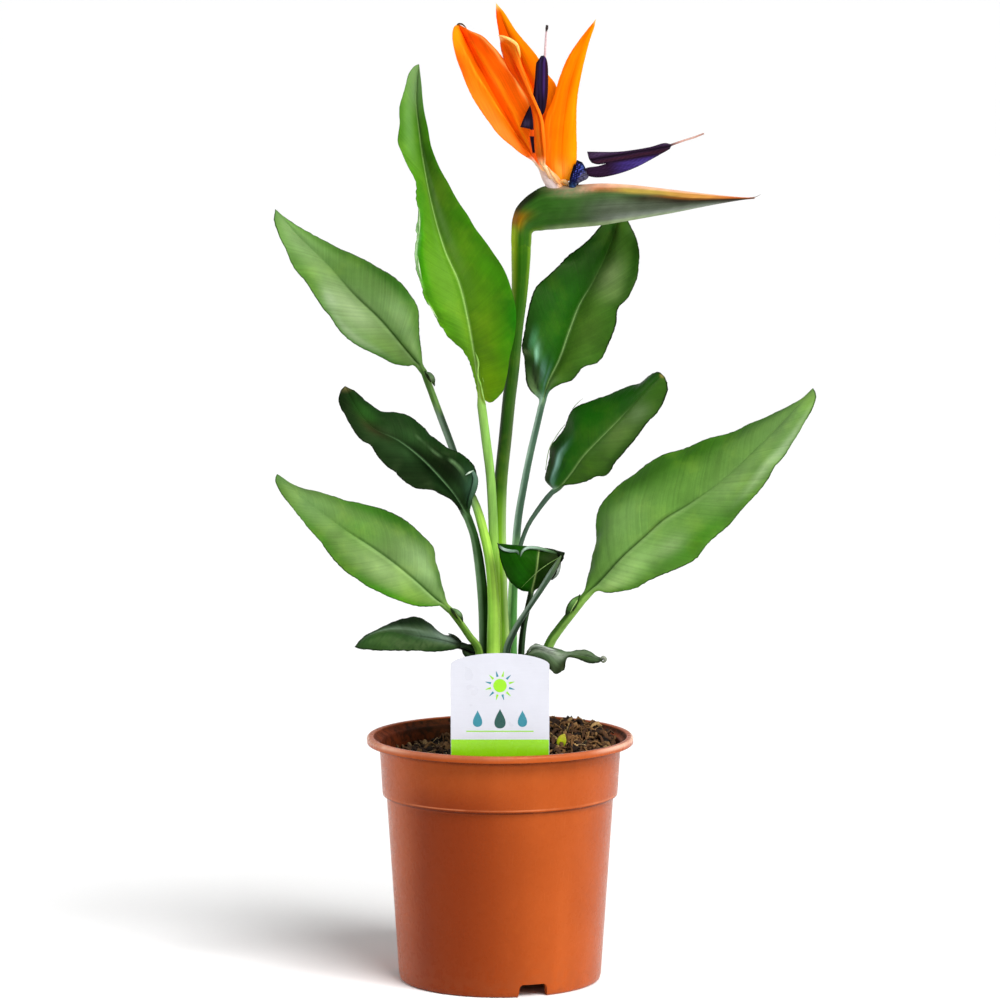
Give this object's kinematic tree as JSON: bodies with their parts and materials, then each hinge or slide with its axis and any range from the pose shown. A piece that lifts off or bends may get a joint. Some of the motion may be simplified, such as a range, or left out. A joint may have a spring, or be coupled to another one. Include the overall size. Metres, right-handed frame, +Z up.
{
  "type": "potted bird of paradise",
  "caption": "Flowering bird of paradise plant in a round plastic nursery pot with a plain plant label: paddle leaves on long stalks and an orange and blue crane-shaped flower.",
  "frame": {"origin": "on the surface the pot stands on, under the middle of the whole plant's bounding box; the pot's own axis is at x = -0.0251 m", "axes": "+Z up along the pot's axis, +X towards the side the flower's beak points to, +Y away from the plant label"},
  "size_m": [0.3387, 0.17, 0.6217],
  "materials": {
    "pot_terracotta": "satin moulded plastic, terracotta orange",
    "potting_mix": "loose, damp bark and coir",
    "label_card": "smooth printed plastic card",
    "leaf_light": "waxy young leaf, satin",
    "leaf_sage": "waxy leaf, matte bloom",
    "leaf_deep": "waxy leaf, satin",
    "leaf_grey": "waxy leaf, grey bloom",
    "leaf_gloss": "waxy leaf, glossy",
    "young_leaf": "rolled leaf, satin",
    "scape_green": "smooth stem, satin",
    "spathe_green": "waxy bract with a glaucous bloom",
    "sepal_orange": "satin petal",
    "floret_white": "translucent fleshy tissue",
    "petal_indigo": "velvety dark petal",
    "hood_blue": "velvety dark blue petal",
    "style_pink": "soft thread-like style"
  },
  "bodies": {
    "root": {"pot": "pot_terracotta", "soil": "potting_mix", "plant_label": "label_card", "leaf_tall_upright": "leaf_light", "leaf_upper_left": "leaf_sage", "leaf_mid_left": "leaf_deep", "leaf_lower_left": "leaf_sage", "leaf_low_left_small": "leaf_grey", "leaf_upper_right": "leaf_gloss", "leaf_mid_right": "leaf_gloss", "leaf_lower_right": "leaf_sage", "leaf_front_folded": "leaf_deep", "leaf_low_right_twisted": "leaf_grey", "young_leaf_spear": "young_leaf", "flower_scape": "scape_green", "flower_spathe": "spathe_green", "sepal_left_boat": "sepal_orange", "sepal_back": "sepal_orange", "sepal_front_folded": "sepal_orange", "sepal_right": "sepal_orange", "floret_tube": "floret_white", "arrow_petal_upright": "petal_indigo", "arrow_petal_sideways": "petal_indigo", "hood_petal": "hood_blue", "style_upright": "style_pink", "style_sideways": "style_pink"}
  },
  "joints": []
}
